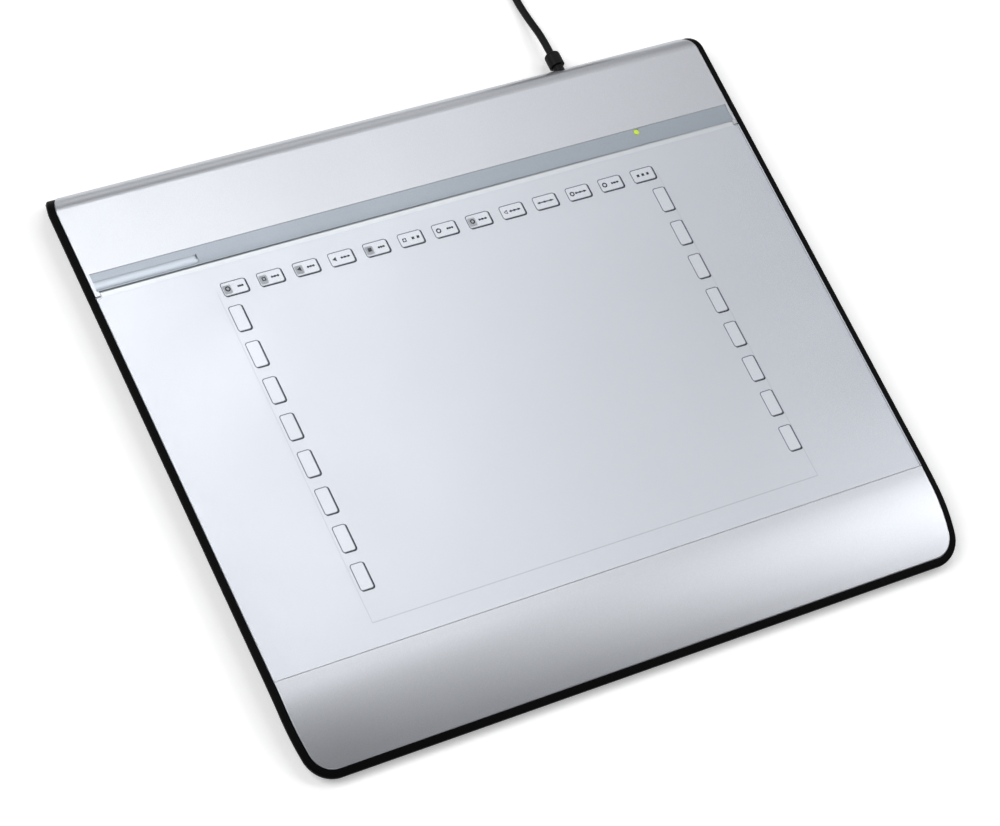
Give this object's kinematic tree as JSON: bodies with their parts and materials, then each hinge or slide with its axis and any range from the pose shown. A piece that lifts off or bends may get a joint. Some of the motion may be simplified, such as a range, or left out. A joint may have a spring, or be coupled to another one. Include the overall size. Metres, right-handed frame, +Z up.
{
  "type": "graphics tablet",
  "caption": "Flat pen tablet with a clear lift-up overlay over a printed key sheet, a pen rest strip, a curved palm rest, and a coiled USB cord.",
  "frame": {"origin": "On the table, under the middle of the casing's outline without the cord.", "axes": "+X to the right along the width, +Y to the back where the cord leaves, +Z up."},
  "size_m": [0.3032, 0.3594, 0.0164],
  "materials": {
    "case_black": "moulded ABS, fine texture",
    "cover_silver": "ABS with satin silver paint",
    "strip_grey": "satin moulded plastic",
    "light_lens": "clear, glows yellow-green",
    "key_sheet_print": "printed plastic sheet",
    "overlay_clear": "frosted clear sheet",
    "foot_rubber": "matte",
    "screw_steel": "zinc plated",
    "sensor_pcb": "fibreglass board, green mask",
    "film_clear": "insulating film",
    "shield_steel": "rolled sheet",
    "socket_plastic": "moulded",
    "ribbon_film": "flat ribbon",
    "chip_black": "moulded",
    "crystal_can": "nickel plated can",
    "capacitor_ceramic": "sintered",
    "led_package": "clear package",
    "wire_insulation": "thin wire insulation",
    "boot_black": "moulded soft plastic",
    "cord_jacket": "smooth soft jacket",
    "tie_fabric": "woven strap",
    "plug_black": "moulded grip",
    "plug_steel": "nickel plated",
    "tongue_plastic": "moulded",
    "contact_gold": "gold plated"
  },
  "bodies": {
    "base": {"lower_case": "case_black", "upper_cover": "cover_silver", "pen_rest_strip": "strip_grey", "light_pipe": "light_lens", "hotkey_sheet": "key_sheet_print", "rubber_feet": "foot_rubber", "case_screws": "screw_steel", "board_screws": "screw_steel", "sensor_board": "sensor_pcb", "controller_board": "sensor_pcb", "insulating_film": "film_clear", "shield_plate": "shield_steel", "ribbon_socket_sensor": "socket_plastic", "ribbon_socket_board": "socket_plastic", "wire_header": "socket_plastic", "flat_ribbon": "ribbon_film", "controller_chip": "chip_black", "memory_chip": "chip_black", "crystal": "crystal_can", "chip_capacitors": "capacitor_ceramic", "status_led": "led_package", "cord_wires": "wire_insulation", "strain_relief_boot": "boot_black", "usb_cable": "cord_jacket", "usb_cable_coil": "cord_jacket", "usb_cable_tail": "cord_jacket", "cord_tie": "tie_fabric", "usb_plug_body": "plug_black", "usb_plug_shell": "plug_steel", "usb_plug_tongue": "tongue_plastic", "usb_plug_contacts": "contact_gold"},
    "overlay": {"overlay_flap": "overlay_clear"}
  },
  "joints": [
    {"name": "overlay_hinge", "type": "hinge", "parent": "base", "child": "overlay", "pos_m": [0, 0.08215, 0.0094], "axis": [-1, 0, 0], "range_deg": [0, 95]}
  ]
}
